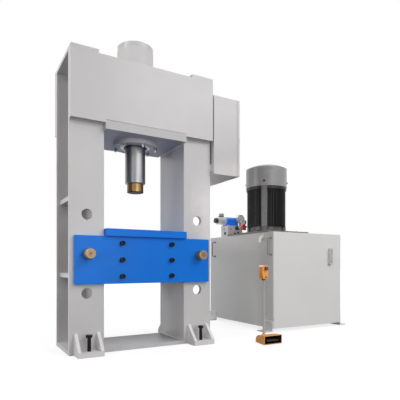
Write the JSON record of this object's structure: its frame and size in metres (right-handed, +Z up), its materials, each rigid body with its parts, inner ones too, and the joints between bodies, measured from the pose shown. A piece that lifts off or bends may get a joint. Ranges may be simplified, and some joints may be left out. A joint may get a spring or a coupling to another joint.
{
  "type": "hydraulic press",
  "caption": "H-frame hydraulic press with a pinned table, a flanged crown cylinder, a side control cabinet, a separate oil power unit with motor and valves, and a foot station.",
  "frame": {"origin": "middle of the press frame's base plate, on the floor", "axes": "+X to the right towards the power unit, +Y to the rear, +Z up"},
  "size_m": [2.683, 1.482, 2.2],
  "materials": {
    "grey_paint": "semi-gloss light grey paint",
    "blue_paint": "semi-gloss blue paint",
    "dark_paint": "satin dark grey paint",
    "black_oxide": "black oxide",
    "cast_housing": "black painted casting",
    "chromed_rod": "ground and chromed",
    "plain_steel": "machined steel",
    "solenoid_steel": "zinc plated",
    "pin_steel": "turned, oiled",
    "brass": "turned brass",
    "rubber": "matt",
    "grey_plastic": "moulded",
    "orange_plastic": "moulded, semi-gloss",
    "red_plastic": "moulded, semi-gloss"
  },
  "bodies": {
    "frame": {"base_plate": "grey_paint", "column_plates": "grey_paint", "column_webs": "grey_paint", "column_ribs": "grey_paint", "column_caps": "grey_paint", "crown_front_plate": "grey_paint", "crown_rear_plate": "grey_paint", "crown_bed": "grey_paint", "crown_lid": "grey_paint", "press_feet": "grey_paint", "cylinder_barrel": "grey_paint", "cylinder_cap": "grey_paint", "cabinet_shell": "grey_paint", "tank_shell": "grey_paint", "table_front_plate": "blue_paint", "table_rear_plate": "blue_paint", "table_webs": "blue_paint", "table_top": "blue_paint", "valve_body": "blue_paint", "tank_cover": "dark_paint", "tank_feet": "dark_paint", "tank_handles": "dark_paint", "level_gauge": "dark_paint", "fan_cowl": "dark_paint", "levelling_bolts": "black_oxide", "flange_bolts": "black_oxide", "table_bolts": "black_oxide", "gauge_case": "black_oxide", "motor_housing": "cast_housing", "bell_housing": "cast_housing", "pump_body": "cast_housing", "cylinder_gland": "plain_steel", "mounting_plate": "plain_steel", "manifold": "plain_steel", "relief_valve": "plain_steel", "station_post": "plain_steel", "solenoids": "solenoid_steel", "rod_wiper": "rubber", "cable_glands": "rubber", "control_gear": "grey_plastic", "elbow_port": "grey_plastic", "pedal_housing": "orange_plastic", "stop_box": "orange_plastic"},
    "ram": {"ram_rod": "chromed_rod", "ram_piston": "plain_steel", "piston_seals": "rubber", "ram_nose": "brass"},
    "left_pin": {"left_pin": "pin_steel"},
    "right_pin": {"right_pin": "pin_steel"},
    "cabinet_door": {"cabinet_door": "grey_paint"},
    "door_lock": {"door_lock": "dark_paint"},
    "rotor": {"motor_shaft": "plain_steel", "motor_fan": "grey_plastic", "shaft_coupling": "dark_paint", "pump_shaft": "plain_steel"},
    "spool": {"valve_spool": "plain_steel"},
    "handwheel": {"handwheel": "red_plastic"},
    "needle": {"gauge_needle": "red_plastic"},
    "treadle": {"treadle": "rubber"},
    "stop_button": {"stop_button": "red_plastic"}
  },
  "joints": [
    {"name": "ram_slide", "type": "slide", "parent": "frame", "child": "ram", "axis": [0, 0, -1], "range_m": [-0.245, 0.245]},
    {"name": "left_pin_draw", "type": "slide", "parent": "frame", "child": "left_pin", "axis": [0, -1, 0], "range_m": [0, 0.56]},
    {"name": "right_pin_draw", "type": "slide", "parent": "frame", "child": "right_pin", "axis": [0, -1, 0], "range_m": [0, 0.56]},
    {"name": "door_swing", "type": "hinge", "parent": "frame", "child": "cabinet_door", "pos_m": [0.77, 0.257, 1.585], "axis": [0, 0, 1], "range_deg": [0, 120]},
    {"name": "lock_turn", "type": "hinge", "parent": "cabinet_door", "child": "door_lock", "pos_m": [0.78, -0.212, 1.585], "axis": [1, 0, 0], "range_deg": [0, 90]},
    {"name": "rotor_spin", "type": "hinge", "parent": "frame", "child": "rotor", "pos_m": [1.533, 0.342, 1.155], "axis": [0, 0, 1], "continuous": true},
    {"name": "spool_shift", "type": "slide", "parent": "frame", "child": "spool", "axis": [1, 0, 0], "range_m": [-0.004, 0.004], "stiffness_N_per_m": 6000},
    {"name": "handwheel_turn", "type": "hinge", "parent": "frame", "child": "handwheel", "pos_m": [1.431, 0.587, 0.982], "axis": [0, -1, 0], "range_deg": [-720, 720]},
    {"name": "needle_sweep", "type": "hinge", "parent": "frame", "child": "needle", "pos_m": [1.488, 0.718, 1.083], "axis": [0, 1, 0], "range_deg": [0, 270], "stiffness_Nm_per_rad": 0.0005, "springref_deg": -17.19},
    {"name": "treadle_press", "type": "hinge", "parent": "frame", "child": "treadle", "pos_m": [0.867, -0.47, 0.027], "axis": [1, 0, 0], "range_deg": [0, 10], "stiffness_Nm_per_rad": 3, "springref_deg": -11.46},
    {"name": "stop_press", "type": "slide", "parent": "frame", "child": "stop_button", "axis": [0, 1, 0], "range_m": [0, 0.005], "stiffness_N_per_m": 1500, "springref_m": -0.004}
  ]
}
